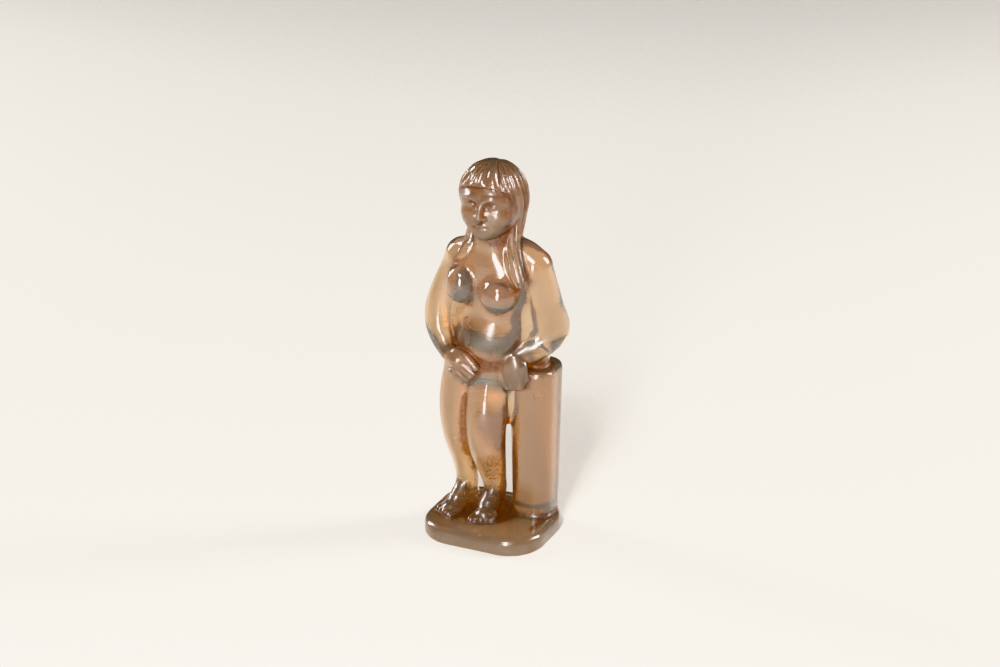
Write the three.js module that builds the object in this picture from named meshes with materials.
// A small statuette cut from one block of rock crystal: a standing woman leans her left forearm on a pillar,
// both on a low plinth with rounded corners. Everything is one solid, because the real one is one stone.
// Millimetres, +Z up. The figure looks along -Y. The origin is the middle of the plinth's underside.
import * as THREE from "three";
import { triTable } from "three/addons/objects/MarchingCubes.js";

// Driving dimensions
const FIGURE_HEIGHT = 86; // sole to crown
const PLINTH_WIDTH = 29; // along X
const PLINTH_DEPTH = 24.6; // along Y
const PLINTH_THICKNESS = 3.9;
const PLINTH_CORNER = 8.3; // radius of the plinth's corners, seen from above
const PLINTH_EDGE = 1.5; // radius worn onto its upper rim
const PLINTH_FOOT_EDGE = 0.5; // radius of its lower rim
const PILLAR_HEIGHT = 36.5;
const PILLAR_WIDTH = 9.3; // along X, at the foot
const PILLAR_DEPTH = 10.5; // along Y, at the foot
const PILLAR_CORNER = 3.9; // radius of the pillar's upright edges
const PILLAR_FLARE = 0.65; // how far each side leans out from foot to top
const PILLAR_EDGE = 1.4; // radius of the pillar's upper rim

// Fineness of the mesh
const CELL = 0.4; // sampling step of the carved form
const TRIANGLES = 9800; // what the finished solid keeps

// The figure's own measure: one share is a hundredth of its height. Its points are [across, back, up] in shares,
// from the middle of the plinth's top.
const SHARE = FIGURE_HEIGHT / 100;

const { lerp, clamp, degToRad } = THREE.MathUtils;

// Ways to shape and join distance fields. Each form is a function of a point: below zero inside the stone.

// The smaller of two distances, with the join filled over the reach k.
function blend(a, b, k) {
  const h = Math.max(k - Math.abs(a - b), 0) / k;
  return Math.min(a, b) - (h * h * k) / 4;
}

// What is left of a once b is cut away, with the arris eased over the reach k.
function cut(a, b, k) {
  return -blend(-a, b, k);
}

// Several forms run together, each join filled over the reach k.
function together(k, ...forms) {
  return (x, y, z) => {
    let near = forms[0](x, y, z);
    for (let i = 1; i < forms.length; i++) near = blend(near, forms[i](x, y, z), k);
    return near;
  };
}

// A ball with the radii [rx, ry, rz] about a centre.
function lump([cx, cy, cz], [rx, ry, rz]) {
  return (x, y, z) => {
    const px = (x - cx) / rx;
    const py = (y - cy) / ry;
    const pz = (z - cz) / rz;
    const inner = Math.hypot(px, py, pz);
    const slope = Math.hypot(px / rx, py / ry, pz / rz);
    return slope < 1e-9 ? -Math.min(rx, ry, rz) : (inner * (inner - 1)) / slope;
  };
}

// The same form, but points far from the ball round it are answered from the ball alone, which is quicker.
const FAR = 5;
function near([cx, cy, cz], radius, form) {
  return (x, y, z) => {
    const away = Math.hypot(x - cx, y - cy, z - cz) - radius;
    return away > FAR ? away : form(x, y, z);
  };
}

// A limb: round cones along a smooth curve through [across, back, up, radius] stations.
const LIMB_STEPS = 8;
function limb(stations) {
  const last = stations.length - 1;
  const station = (i) => stations[clamp(i, 0, last)];
  const between = (i, t) =>
    [0, 1, 2, 3].map((n) => {
      const [a, b, c, d] = [station(i - 1)[n], station(i)[n], station(i + 1)[n], station(i + 2)[n]];
      return b + 0.5 * t * (c - a + t * (2 * a - 5 * b + 4 * c - d + t * (3 * b - a - 3 * c + d)));
    });
  const steps = last > 1 ? LIMB_STEPS : 1;
  const chain = Array.from({ length: last * steps + 1 }, (_, n) => {
    const i = Math.min(Math.floor(n / steps), last - 1);
    return between(i, n / steps - i);
  });
  const middle = [0, 1, 2].map((n) => stations.reduce((sum, one) => sum + one[n], 0) / stations.length);
  const radius = Math.max(...chain.map((one) => Math.hypot(...[0, 1, 2].map((n) => one[n] - middle[n])) + one[3]));
  return near(middle, radius, (x, y, z) => {
    let least = Infinity;
    for (let i = 0; i < chain.length - 1; i++) {
      const a = chain[i];
      const b = chain[i + 1];
      const [rx, ry, rz] = [b[0] - a[0], b[1] - a[1], b[2] - a[2]];
      const [px, py, pz] = [x - a[0], y - a[1], z - a[2]];
      const t = clamp((px * rx + py * ry + pz * rz) / (rx * rx + ry * ry + rz * rz), 0, 1);
      least = Math.min(least, Math.hypot(px - t * rx, py - t * ry, pz - t * rz) - lerp(a[3], b[3], t));
    }
    return least;
  });
}

// Evenly spread limbs between two lines of starts and two lines of ends: fingers, toes.
function fan(count, [startA, startB], [endA, endB], radius, tipRadius) {
  const mix = (a, b, t) => a.map((value, axis) => lerp(value, b[axis], t));
  return together(
    0.25,
    ...Array.from({ length: count }, (_, i) => {
      const t = i / (count - 1);
      return limb([
        [...mix(startA, startB, t), radius],
        [...mix(endA, endB, t), tipRadius],
      ]);
    }),
  );
}

// A rectangle with round corners in plan: half sizes hx and hy, corner radius r.
function roundedPlan(x, y, hx, hy, r) {
  const qx = Math.abs(x) - hx + r;
  const qy = Math.abs(y) - hy + r;
  return Math.hypot(Math.max(qx, 0), Math.max(qy, 0)) + Math.min(Math.max(qx, qy), 0) - r;
}

// Where an upright wall meets a level face, both given by their distances, with the rim rounded to r.
function rim(wall, level, r) {
  const across = wall + r;
  const along = level + r;
  return Math.hypot(Math.max(across, 0), Math.max(along, 0)) + Math.min(Math.max(across, along), 0) - r;
}

// The body, in shares

const torso = together(
  3.5,
  lump([0.3, 1.4, 66.5], [10, 6.4, 10.5]), // rib cage
  lump([-0.9, 0.8, 54.5], [8.7, 6.3, 9.5]), // waist
  lump([-1.8, -1, 50], [7, 5.3, 6.5]), // belly
  lump([-3.7, 1.8, 43], [9.7, 6.8, 7.6]), // hips
  limb([
    [-9.6, 2.8, 71.9, 4.6],
    [0.3, 2, 74.7, 4.9],
    [6.8, 2.8, 74.2, 4.6],
    [10.6, 2.8, 72, 4.6],
  ]), // the slope of the shoulders
);
const chest = lump([-0.4, -2.2, 69.5], [9.2, 3.3, 6]);
const breasts = together(
  0.5,
  lump([3.9, -5, 65.4], [4.8, 4.3, 4.6]),
  lump([-6.7, -4.6, 66.8], [4.2, 4.2, 5.3]),
);
const buttocks = together(
  1,
  lump([0.2, 4, 41.4], [5.2, 4.5, 6.6]),
  lump([-8, 4, 42], [5.2, 4.5, 6.6]),
);
const neck = limb([
  [0.4, 1, 73, 5.6],
  [0.3, 0.6, 83, 5.2],
]);

const leftArm = limb([
  [10.9, 2.6, 71.6, 4.6],
  [12.4, 3.4, 66.5, 4.3],
  [13.3, 4.8, 60, 4.5],
  [13.6, 6.8, 53.2, 4.8],
  [10.4, 4, 48.7, 3.7],
  [6.6, 0, 46.4, 2.6],
]);
const rightArm = limb([
  [-9.7, 2.6, 71.2, 4.6],
  [-11.7, 2.2, 67, 4.3],
  [-13.7, 1.5, 62.7, 4],
  [-15.3, 0.6, 57, 4],
  [-15, -0.6, 52.4, 3.7],
  [-13.2, -2.4, 49.2, 3],
  [-10.7, -4.3, 47, 2.4],
]);
const armWebs = together(
  1,
  lump([-9.6, 1.8, 57], [4.4, 3, 13]),
  lump([8.8, 3.4, 57.5], [4.4, 2.8, 12.5]),
);
// Stone left standing between her forearm and the pillar.
const forearmBridge = lump([9.8, 7, 44.6], [3.2, 3.4, 5.4]);

const leftLeg = limb([
  [-0.8, 0.8, 41, 5.9],
  [-1, -0.9, 34.6, 5.6],
  [-0.8, -2.3, 28, 5.4],
  [-0.9, -1.4, 20.5, 4.9],
  [-1, 1.8, 12.6, 3.8],
  [-0.8, 3.7, 6, 2.8],
  [-0.8, 4, 3, 2.5],
]);
const rightLeg = limb([
  [-8, 1.2, 41, 6],
  [-9.3, 0.4, 34.3, 5.6],
  [-9.8, -0.3, 28.4, 5],
  [-9.7, 0.6, 21, 4.4],
  [-9.3, 2.4, 13.5, 3.4],
  [-9.1, 3.6, 7, 2.8],
  [-9.1, 3.9, 3, 2.5],
]);
const legWeb = lump([-5.4, 1.6, 26], [2.6, 2.2, 14]);
const hipWeb = lump([4.2, 2.8, 35.5], [2.8, 3.2, 9.8]);

// A bare foot under the ankle at [across, back], turned out from straight ahead by a bearing in degrees.
// Its inner side, where the great toe is, is told by a sign along X.
function foot([across, back], bearing, inner) {
  const c = Math.cos(degToRad(bearing));
  const s = Math.sin(degToRad(bearing));
  const at = (side, ahead, up, ...rest) => [
    across + side * inner * c + ahead * s,
    back + side * inner * s - ahead * c,
    up,
    ...rest,
  ];
  const sole = together(
    1.5,
    limb([at(0, -1.6, 1.7, 2.4), at(0.2, 3.5, 2.2, 2.5), at(0, 7.8, 0.8, 2)]),
    limb([at(0, 0, 6.5, 2.6), at(0, 4.5, 3, 2.1)]),
    lump(at(0, 7, 0.5), [3.2, 3, 1.5]),
  );
  const toes = fan(
    5,
    [at(2.3, 8, 0.8), at(-2.5, 6.6, 0.6)],
    [at(2.4, 11.2, 0.6), at(-2.8, 9, 0.5)],
    1.05,
    0.85,
  );
  return near([...at(0, 4, 3)], 11, together(0.3, sole, toes));
}
const feet = together(0.3, foot([-0.8, 3.8], 1, -1), foot([-9.1, 3.8], -11, 1));

const leftHand = near(
  [6.5, -1, 42],
  7,
  together(
    0.4,
    lump([6.2, -1.7, 43.8], [3.8, 1.9, 4.6]),
    lump([7.2, -0.2, 41], [3, 1.8, 3.4]), // palm
    fan(4, [[3.6, -2.3, 41.9], [8.7, -1.9, 42.3]], [[5, -1.9, 38.4], [8.8, -1.2, 38.8]], 1.15, 0.95),
    limb([
      [9.2, -1.2, 45, 1.2],
      [9.8, -0.4, 41, 0.9],
    ]),
  ),
);
const rightHand = near(
  [-5.5, -6.3, 44.5],
  8,
  together(
    0.4,
    limb([
      [-10.2, -4.8, 46.8, 2.3],
      [-7, -5.9, 45.7, 2.7],
    ]),
    fan(4, [[-5.2, -6.9, 45.2], [-8.6, -6.4, 42.4]], [[-2.2, -7, 43], [-5.4, -6.7, 40.2]], 1.1, 0.85),
    limb([
      [-7.4, -6.2, 47.9, 1.3],
      [-4, -7, 47, 1.25],
      [-1.4, -7.1, 45, 0.95],
    ]),
  ),
);

// The head

const skull = together(
  1.8,
  lump([0, -0.4, 90.2], [8.1, 7.2, 8.2]),
  lump([-0.1, -1.8, 85.7], [7.1, 5.7, 5.3]),
  lump([0, -4.6, 83.3], [4, 2.6, 2.5]),
);
const brow = together(
  0.6,
  limb([
    [-5.6, -5.2, 91, 0.45],
    [-3, -6.75, 92, 0.55],
    [-0.7, -7, 91.3, 0.55],
  ]),
  limb([
    [0.7, -7, 91.3, 0.55],
    [3, -6.75, 92, 0.55],
    [5.6, -5.2, 91, 0.45],
  ]),
);
const nose = limb([
  [0, -7, 91, 0.8],
  [0, -8.2, 88, 1],
  [0, -8.4, 87.2, 1.15],
]);
const nostrils = limb([
  [-0.95, -7.5, 86.9, 0.75],
  [0.95, -7.5, 86.9, 0.75],
]);
const eyeSockets = together(0.3, lump([-2.9, -7.6, 90.1], [1.9, 1.1, 1.1]), lump([2.9, -7.6, 90.1], [1.9, 1.1, 1.1]));
const eyes = together(0.2, lump([-2.9, -6.1, 90], [1.6, 1.1, 0.8]), lump([2.9, -6.1, 90], [1.6, 1.1, 0.8]));
const lips = together(0.15, lump([0, -7, 84.5], [1.9, 0.9, 0.6]), lump([0, -6.8, 83.4], [1.6, 0.9, 0.65]));
const head = near([0, -1, 88], 11, (x, y, z) => {
  let form = blend(skull(x, y, z), brow(x, y, z), 1.4);
  form = cut(form, eyeSockets(x, y, z), 0.8);
  form = blend(form, eyes(x, y, z), 0.2);
  form = blend(form, blend(nose(x, y, z), nostrils(x, y, z), 0.5), 0.6);
  return blend(form, lips(x, y, z), 0.4);
});

// Her hair is parted at the crown. Its locks are grooves that spread from the crown and run down the back.
const CROWN = [0.3, 2.4];
const LOCKS = 22;
const LOCK_DEPTH = 0.38;
const hairMass = together(
  1.5,
  lump([0, 0.6, 90.8], [8.8, 9.2, 9.2]),
  limb([
    [0.3, 3.4, 88, 7.4],
    [0.4, 4.2, 80, 5.9],
    [0.5, 4.4, 72, 4.5],
  ]),
);
const part = limb([
  [0.3, -7, 98.6, 0.5],
  [0.3, 1, 100.9, 0.7],
  [0.3, 9, 97.4, 0.4],
]);
const hair = near([0.3, 2, 84], 20, (x, y, z) => {
  const bearing = Math.atan2(y - CROWN[1], x - CROWN[0]);
  const spread = clamp(Math.hypot(x - CROWN[0], y - CROWN[1]) / 7, 0, 1) ** 1.5;
  const fringe = z - 95.2 + 0.04 * x * x;
  const temple = y + 3.2 - 0.4 * (91 - z);
  const opening = -blend(-fringe, -temple, 0.8);
  const fade = clamp(opening / 1.5, 0.2, 1);
  const locks = LOCK_DEPTH * spread * fade * Math.cos(LOCKS * bearing + 1.2 * Math.sin(3 * bearing));
  const parted = cut(hairMass(x, y, z) + locks, part(x, y, z), 0.8);
  return cut(parted, opening, 0.5);
});

// A tress brought forward over a shoulder: three strands side by side.
function tress(stations) {
  const strands = [-1, 0, 1].map((side) =>
    limb(stations.map(([x, y, z, r]) => [x + side * r * 0.64, y - 0.15 * (1 - side * side), z, r * 0.47])),
  );
  return together(0.3, ...strands);
}
const tresses = together(
  0.4,
  tress([
    [5.8, 1, 87, 2],
    [5.4, 0.2, 82, 2.1],
    [6.2, -1.6, 78, 2.2],
    [7.8, -3.2, 73.6, 2.4],
    [9.4, -3.9, 70, 2.1],
    [10.4, -4, 67.8, 1.2],
  ]),
  tress([
    [-5.2, -0.4, 82, 1.5],
    [-5.4, -2, 78.4, 1.5],
    [-6.9, -3.4, 74.8, 1.4],
    [-8.6, -3.8, 72.4, 0.9],
  ]),
);

const legs = together(0.5, leftLeg, rightLeg);
const webs = together(1.5, legWeb, hipWeb);

function woman(x, y, z) {
  let body = blend(torso(x, y, z), neck(x, y, z), 2);
  body = blend(body, chest(x, y, z), 2);
  body = blend(body, breasts(x, y, z), 1.8);
  body = blend(body, buttocks(x, y, z), 3);
  body = blend(body, webs(x, y, z), 1);
  body = blend(body, legs(x, y, z), 1.6);
  body = blend(body, feet(x, y, z), 1.2);
  body = blend(body, armWebs(x, y, z), 2.5);
  body = blend(body, Math.min(leftArm(x, y, z), rightArm(x, y, z)), 0.8);
  body = blend(body, forearmBridge(x, y, z), 1.2);
  body = blend(body, Math.min(leftHand(x, y, z), rightHand(x, y, z)), 0.4);
  body = blend(body, head(x, y, z), 0.6);
  return blend(body, blend(hair(x, y, z), tresses(x, y, z), 0.6), 0.5);
}

// The stone she stands on and leans on, in millimetres

const PILLAR_TOP = PLINTH_THICKNESS + PILLAR_HEIGHT;
const PILLAR_MID = [9.2 * SHARE, 7.4 * SHARE]; // below her left forearm

function plinth(x, y, z) {
  const wall = roundedPlan(x, y, PLINTH_WIDTH / 2, PLINTH_DEPTH / 2, PLINTH_CORNER);
  return Math.max(rim(wall, z - PLINTH_THICKNESS, PLINTH_EDGE), rim(wall, -z, PLINTH_FOOT_EDGE));
}

function pillar(x, y, z) {
  const lean = PILLAR_FLARE * clamp((z - PLINTH_THICKNESS) / PILLAR_HEIGHT, 0, 1);
  const wall = roundedPlan(
    x - PILLAR_MID[0],
    y - PILLAR_MID[1],
    PILLAR_WIDTH / 2 + lean,
    PILLAR_DEPTH / 2 + lean,
    PILLAR_CORNER,
  );
  return rim(wall, Math.max(z - PILLAR_TOP, 1 - z), PILLAR_EDGE);
}

function statuette(x, y, z) {
  const stone = blend(plinth(x, y, z), pillar(x, y, z), 0.9);
  const figure = SHARE * woman(x / SHARE, y / SHARE, (z - PLINTH_THICKNESS) / SHARE);
  return blend(stone, figure, 0.5);
}

// Marching cubes: the surface where the field is zero, inside a box of cells

const CORNERS = [
  [0, 0, 0],
  [1, 0, 0],
  [1, 1, 0],
  [0, 1, 0],
  [0, 0, 1],
  [1, 0, 1],
  [1, 1, 1],
  [0, 1, 1],
];
// Each edge of a cell: its lower corner, the axis it runs along.
const EDGES = [
  [0, 0],
  [1, 1],
  [3, 0],
  [0, 1],
  [4, 0],
  [5, 1],
  [7, 0],
  [4, 1],
  [0, 2],
  [1, 2],
  [2, 2],
  [3, 2],
];

function polygonise(field, low, high, cell) {
  const count = low.map((value, axis) => Math.ceil((high[axis] - value) / cell) + 1);
  const step = [1, count[0], count[0] * count[1]];
  const values = new Float64Array(count[0] * count[1] * count[2]);
  const at = (i, j, k) => field(low[0] + cell * i, low[1] + cell * j, low[2] + cell * k);
  // Whole blocks far from the surface are filled from one sample at their middle.
  const block = 4;
  const far = block * cell * 1.6;
  for (let k = 0; k < count[2]; k += block)
    for (let j = 0; j < count[1]; j += block)
      for (let i = 0; i < count[0]; i += block) {
        const middle = at(i + block / 2, j + block / 2, k + block / 2);
        const sample = Math.abs(middle) > far ? () => middle : at;
        for (let c = k; c < Math.min(k + block, count[2]); c++)
          for (let b = j; b < Math.min(j + block, count[1]); b++)
            for (let a = i; a < Math.min(i + block, count[0]); a++)
              values[a * step[0] + b * step[1] + c * step[2]] = sample(a, b, c) || 1e-9;
      }

  const points = [];
  const faces = [];
  const pointOnEdge = new Map();
  const offsets = CORNERS.map(([a, b, c]) => a * step[0] + b * step[1] + c * step[2]);
  for (let k = 0; k < count[2] - 1; k++)
    for (let j = 0; j < count[1] - 1; j++)
      for (let i = 0; i < count[0] - 1; i++) {
        const base = i * step[0] + j * step[1] + k * step[2];
        let inside = 0;
        offsets.forEach((offset, corner) => {
          if (values[base + offset] < 0) inside |= 1 << corner;
        });
        const crossing = (edge) => {
          const [corner, axis] = EDGES[edge];
          const start = base + offsets[corner];
          const key = start * 3 + axis;
          if (!pointOnEdge.has(key)) {
            const t = clamp(values[start] / (values[start] - values[start + step[axis]]), 0.03, 0.97);
            const place = [i, j, k].map((n, d) => low[d] + cell * (n + CORNERS[corner][d] + (d === axis ? t : 0)));
            pointOnEdge.set(key, points.length);
            points.push(place);
          }
          return pointOnEdge.get(key);
        };
        for (let t = inside * 16; triTable[t] !== -1; t += 3)
          faces.push([crossing(triTable[t]), crossing(triTable[t + 2]), crossing(triTable[t + 1])]);
      }
  return { points, faces };
}

// Thinning: edges are closed up one by one, first the one whose loss moves the surface least, by the sum of
// squared distances to the planes of the faces that met there.

const cross = (a, b) => [a[1] * b[2] - a[2] * b[1], a[2] * b[0] - a[0] * b[2], a[0] * b[1] - a[1] * b[0]];
const dot = (a, b) => a[0] * b[0] + a[1] * b[1] + a[2] * b[2];
const minus = (a, b) => [a[0] - b[0], a[1] - b[1], a[2] - b[2]];

// A quadric holds the ten sums that give the squared distance of any point to a set of planes.
function quadricOf(a, b, c) {
  const across = cross(minus(b, a), minus(c, a));
  const area = Math.hypot(...across) || 1e-12;
  const [x, y, z] = across.map((value) => value / area);
  const w = -dot([x, y, z], a);
  return [x * x, x * y, x * z, x * w, y * y, y * z, y * w, z * z, z * w, w * w].map((value) => value * area);
}

function loss(q, [x, y, z]) {
  return (
    q[0] * x * x + q[4] * y * y + q[7] * z * z + q[9] +
    2 * (q[1] * x * y + q[2] * x * z + q[3] * x + q[5] * y * z + q[6] * y + q[8] * z)
  );
}

// The point that loses least, or the best of the edge's ends and middle where the planes leave it open.
function bestPlace(q, a, b) {
  const rows = [
    [q[0], q[1], q[2]],
    [q[1], q[4], q[5]],
    [q[2], q[5], q[7]],
  ];
  const right = [-q[3], -q[6], -q[8]];
  const volume = dot(rows[0], cross(rows[1], rows[2]));
  const size = (q[0] + q[4] + q[7]) ** 3;
  if (volume > 1e-4 * size) {
    const replaced = (axis) => rows.map((row, i) => row.map((value, j) => (j === axis ? right[i] : value)));
    return [0, 1, 2].map((axis) => {
      const m = replaced(axis);
      return dot(m[0], cross(m[1], m[2])) / volume;
    });
  }
  const middle = a.map((value, axis) => (value + b[axis]) / 2);
  return [middle, a, b].reduce((best, place) => (loss(q, place) < loss(q, best) ? place : best));
}

// A queue that gives back the entry with the least cost.
class Queue {
  entries = [];

  push(entry) {
    const list = this.entries;
    let i = list.length;
    list.push(entry);
    while (i > 0) {
      const parent = (i - 1) >> 1;
      if (list[parent].cost <= entry.cost) break;
      list[i] = list[parent];
      i = parent;
    }
    list[i] = entry;
  }

  pop() {
    const list = this.entries;
    const first = list[0];
    const last = list.pop();
    if (list.length === 0) return first;
    let i = 0;
    while (2 * i + 1 < list.length) {
      let child = 2 * i + 1;
      if (child + 1 < list.length && list[child + 1].cost < list[child].cost) child += 1;
      if (list[child].cost >= last.cost) break;
      list[i] = list[child];
      i = child;
    }
    list[i] = last;
    return first;
  }
}

const LENGTH_WEIGHT = 2e-4; // keeps flat areas from growing long thin faces

// Places looked at first keep more faces: [centre in shares, reach, how much more a loss counts there].
const CLOSE_WORK = [
  [[0, -2, 88], 11.5, 8], // head
  [[6.5, -1, 42], 6.5, 6], // left hand
  [[-5.5, -6.3, 44.5], 7, 6], // right hand
  [[-1, -5.5, 1.5], 6, 3], // left foot
  [[-11, -4.5, 1.5], 6, 3], // right foot
];
function worth([x, y, z]) {
  let most = 1;
  for (const [[cx, cy, cz], reach, weight] of CLOSE_WORK) {
    const away = Math.hypot(x / SHARE - cx, y / SHARE - cy, (z - PLINTH_THICKNESS) / SHARE - cz);
    if (away < reach) most = Math.max(most, weight);
  }
  return most;
}

function thin({ points, faces }, target) {
  const quadrics = points.map(() => new Array(10).fill(0));
  const around = points.map(() => new Set());
  const age = new Int32Array(points.length);
  faces.forEach((face, f) => {
    const weight = worth(points[face[0]]);
    const q = quadricOf(...face.map((v) => points[v])).map((value) => value * weight);
    for (const v of face) {
      around[v].add(f);
      for (let i = 0; i < 10; i++) quadrics[v][i] += q[i];
    }
  });

  const neighbours = (v) => {
    const found = new Set();
    for (const f of around[v]) for (const u of faces[f]) if (u !== v) found.add(u);
    return found;
  };
  const queue = new Queue();
  const offer = (a, b) => {
    const q = quadrics[a].map((value, i) => value + quadrics[b][i]);
    const place = bestPlace(q, points[a], points[b]);
    const length = Math.hypot(...minus(points[a], points[b]));
    queue.push({ cost: loss(q, place) + LENGTH_WEIGHT * length ** 2, a, b, q, place, ages: age[a] + age[b] });
  };
  // A face may turn a little when one of its corners moves, but not fold over or become a sliver.
  const lookAt = ([a, b, c]) => {
    const across = cross(minus(b, a), minus(c, a));
    const area = Math.hypot(...across);
    const longest = Math.max(Math.hypot(...minus(b, a)), Math.hypot(...minus(c, b)), Math.hypot(...minus(a, c)));
    return { across, area, roundness: area / (longest * longest) };
  };
  const holds = (f, v, place) => {
    const was = lookAt(faces[f].map((u) => points[u]));
    const is = lookAt(faces[f].map((u) => (u === v ? place : points[u])));
    const turned = dot(was.across, is.across) < 0.5 * was.area * is.area;
    return !turned && is.roundness > Math.min(0.1, 0.9 * was.roundness);
  };

  points.forEach((_, a) => {
    for (const b of neighbours(a)) if (a < b) offer(a, b);
  });
  let left = faces.length;
  while (left > target) {
    const { a, b, q, place, ages } = queue.pop();
    if (!around[a] || !around[b] || ages !== age[a] + age[b]) continue;
    const shared = [...around[a]].filter((f) => around[b].has(f));
    const others = neighbours(b);
    const common = [...neighbours(a)].filter((v) => others.has(v));
    if (shared.length !== 2 || common.length !== 2) continue;
    const kept = (v) => [...around[v]].filter((f) => !shared.includes(f));
    if (!kept(a).every((f) => holds(f, a, place)) || !kept(b).every((f) => holds(f, b, place))) continue;
    for (const f of shared) {
      for (const v of faces[f]) around[v].delete(f);
      faces[f] = null;
    }
    for (const f of around[b]) {
      faces[f] = faces[f].map((v) => (v === b ? a : v));
      around[a].add(f);
    }
    around[b] = null;
    points[a] = place;
    quadrics[a] = q;
    age[a] += 1;
    left -= 2;
    for (const v of neighbours(a)) offer(a, v);
  }

  const number = new Map();
  const keptFaces = faces.filter((face) => face !== null);
  for (const face of keptFaces) for (const v of face) if (!number.has(v)) number.set(v, number.size);
  return {
    points: [...number.keys()].map((v) => points[v]),
    faces: keptFaces.map((face) => face.map((v) => number.get(v))),
  };
}

const MARGIN = 5.5 * CELL; // puts the level underside halfway between two layers of samples
const REACH = 0.22 * FIGURE_HEIGHT + MARGIN; // her elbows reach out farther than the plinth
const carved = polygonise(
  statuette,
  [-REACH, -PLINTH_DEPTH / 2 - MARGIN, -MARGIN],
  [REACH, PLINTH_DEPTH / 2 + MARGIN, PLINTH_THICKNESS + FIGURE_HEIGHT + MARGIN],
  CELL,
);
const { points, faces } = thin(carved, TRIANGLES);
const FLAT = 0.02; // the underside is brought back to exactly level
for (const point of points) if (Math.abs(point[2]) < FLAT) point[2] = 0;

const geometry = new THREE.BufferGeometry();
geometry.setAttribute("position", new THREE.Float32BufferAttribute(points.flat(), 3));
geometry.setIndex(faces.flat());
geometry.computeVertexNormals();

const crystal = new THREE.MeshStandardMaterial({ color: 0xcbb08c, roughness: 0.2, metalness: 0 });
const mesh = new THREE.Mesh(geometry, crystal);
mesh.name = "statuette";

const group = new THREE.Group();
group.name = "rock_crystal_statuette";
group.add(mesh);
export default group;
